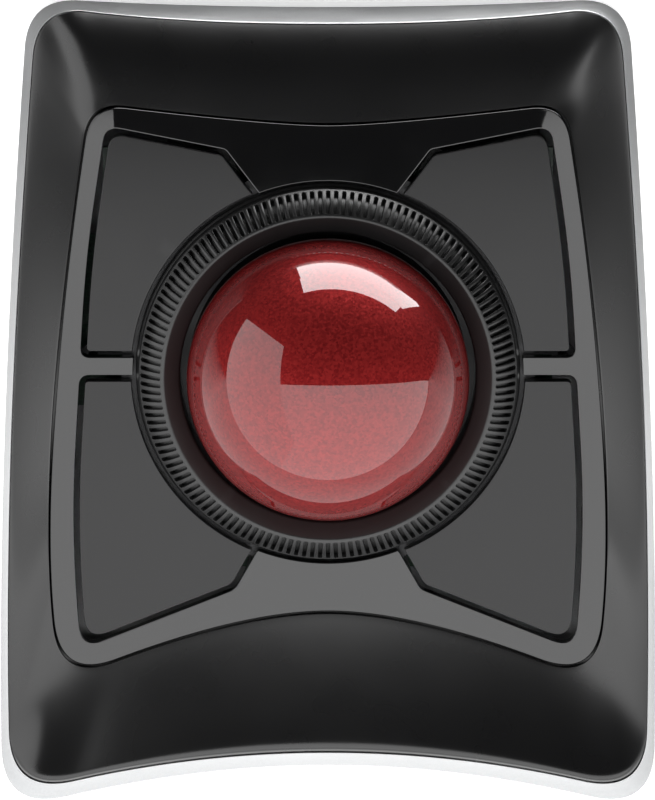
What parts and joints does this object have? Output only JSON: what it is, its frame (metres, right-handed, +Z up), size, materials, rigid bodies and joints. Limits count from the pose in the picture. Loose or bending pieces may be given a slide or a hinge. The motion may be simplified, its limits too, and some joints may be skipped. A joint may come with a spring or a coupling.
{
  "type": "trackball",
  "caption": "Desktop trackball: a large ball in a knurled scroll ring, with four buttons in a leaning deck, on a flared case with a pale rim.",
  "frame": {"origin": "centre of the footprint on the desk", "axes": "+X to the user's right, +Y away from the user, +Z up"},
  "size_m": [0.1292, 0.1577, 0.065],
  "materials": {
    "shell_black": "fine satin grain",
    "gloss_black": "polished",
    "satin_black": "satin",
    "rim_silver": "fine silver-grey paint",
    "ring_black": "satin",
    "dark_plastic": "moulded",
    "ball_red": "polished resin with fine sparkle",
    "glide_white": "low friction",
    "steel": "plated",
    "lens_clear": "clear",
    "chip_black": "moulded epoxy",
    "board_green": "solder mask",
    "cell_wrap": "wrapped cell",
    "brass": "plated",
    "foot_rubber": "soft",
    "plunger_red": "moulded"
  },
  "bodies": {
    "case": {"top_shell": "shell_black", "base_shell": "rim_silver", "battery_tray": "dark_plastic", "trim_frame": "gloss_black", "ball_cup": "dark_plastic", "ring_glides": "glide_white", "bearing_balls": "steel", "sensor_lens": "lens_clear", "optical_sensor": "chip_black", "sensor_board": "board_green", "main_board": "board_green", "board_parts": "chip_black", "microswitches": "chip_black", "encoder_sensor": "chip_black", "battery_front": "cell_wrap", "battery_rear": "cell_wrap", "battery_springs": "steel", "battery_contacts": "brass", "switch_board": "board_green", "rubber_feet": "foot_rubber", "case_screws": "steel", "head_screws": "steel", "board_screws": "steel"},
    "button_upper_left": {"button_upper_left": "satin_black"},
    "button_upper_right": {"button_upper_right": "satin_black"},
    "button_lower_left": {"button_lower_left": "satin_black"},
    "button_lower_right": {"button_lower_right": "satin_black"},
    "plunger_upper_left": {"plunger_upper_left": "plunger_red"},
    "plunger_upper_right": {"plunger_upper_right": "plunger_red"},
    "plunger_lower_left": {"plunger_lower_left": "plunger_red"},
    "plunger_lower_right": {"plunger_lower_right": "plunger_red"},
    "scroll_ring": {"scroll_ring": "ring_black", "encoder_ring": "dark_plastic"},
    "ball": {"ball": "ball_red"},
    "battery_door": {"battery_door": "rim_silver"},
    "power_switch": {"power_switch": "dark_plastic"},
    "pair_button": {"pair_button": "dark_plastic"},
    "usb_receiver": {"usb_receiver": "dark_plastic"}
  },
  "joints": [
    {"name": "button_upper_left_press", "type": "hinge", "parent": "case", "child": "button_upper_left", "pos_m": [-0.0439, 0.03022, 0.02958], "axis": [0.1236, 0.9706, 0.2063], "range_deg": [0, 2]},
    {"name": "plunger_upper_left_press", "type": "slide", "parent": "case", "child": "plunger_upper_left", "axis": [0, 0.2079, -0.9781], "range_m": [0, 0.0009]},
    {"name": "button_upper_right_press", "type": "hinge", "parent": "case", "child": "button_upper_right", "pos_m": [0.0439, 0.03022, 0.02958], "axis": [0.1236, -0.9706, -0.2063], "range_deg": [0, 2]},
    {"name": "plunger_upper_right_press", "type": "slide", "parent": "case", "child": "plunger_upper_right", "axis": [0, 0.2079, -0.9781], "range_m": [0, 0.0009]},
    {"name": "button_lower_left_press", "type": "hinge", "parent": "case", "child": "button_lower_left", "pos_m": [-0.0474, -0.01477, 0.02001], "axis": [0, 0.9781, 0.2079], "range_deg": [0, 2]},
    {"name": "plunger_lower_left_press", "type": "slide", "parent": "case", "child": "plunger_lower_left", "axis": [0, 0.2079, -0.9781], "range_m": [0, 0.0009]},
    {"name": "button_lower_right_press", "type": "hinge", "parent": "case", "child": "button_lower_right", "pos_m": [0.0474, -0.01477, 0.02001], "axis": [0, -0.9781, -0.2079], "range_deg": [0, 2]},
    {"name": "plunger_lower_right_press", "type": "slide", "parent": "case", "child": "plunger_lower_right", "axis": [0, 0.2079, -0.9781], "range_m": [0, 0.0009]},
    {"name": "scroll_ring_turn", "type": "hinge", "parent": "case", "child": "scroll_ring", "pos_m": [0, 0.004, 0.0375], "axis": [0, -0.2079, 0.9781], "continuous": true},
    {"name": "ball_roll", "type": "hinge", "parent": "case", "child": "ball", "pos_m": [0, 0.004, 0.0375], "axis": [1, 0, 0], "continuous": true},
    {"name": "battery_door_open", "type": "hinge", "parent": "case", "child": "battery_door", "pos_m": [0, 0.0295, 0.0024], "axis": [-1, 0, 0], "range_deg": [0, 100]},
    {"name": "power_switch_slide", "type": "slide", "parent": "case", "child": "power_switch", "axis": [0, 1, 0], "range_m": [0, 0.004]},
    {"name": "pair_button_press", "type": "slide", "parent": "case", "child": "pair_button", "axis": [0, 0, 1], "range_m": [0, 0.0005]},
    {"name": "usb_receiver_pull", "type": "slide", "parent": "case", "child": "usb_receiver", "axis": [0, 0, -1], "range_m": [0, 0.0175]}
  ],
  "couplings": [
    {"joint": "plunger_upper_left_press", "follows": "button_upper_left_press", "m_per_rad": 0.017755},
    {"joint": "plunger_upper_right_press", "follows": "button_upper_right_press", "m_per_rad": 0.017755},
    {"joint": "plunger_lower_left_press", "follows": "button_lower_left_press", "m_per_rad": 0.021848},
    {"joint": "plunger_lower_right_press", "follows": "button_lower_right_press", "m_per_rad": 0.021848}
  ]
}
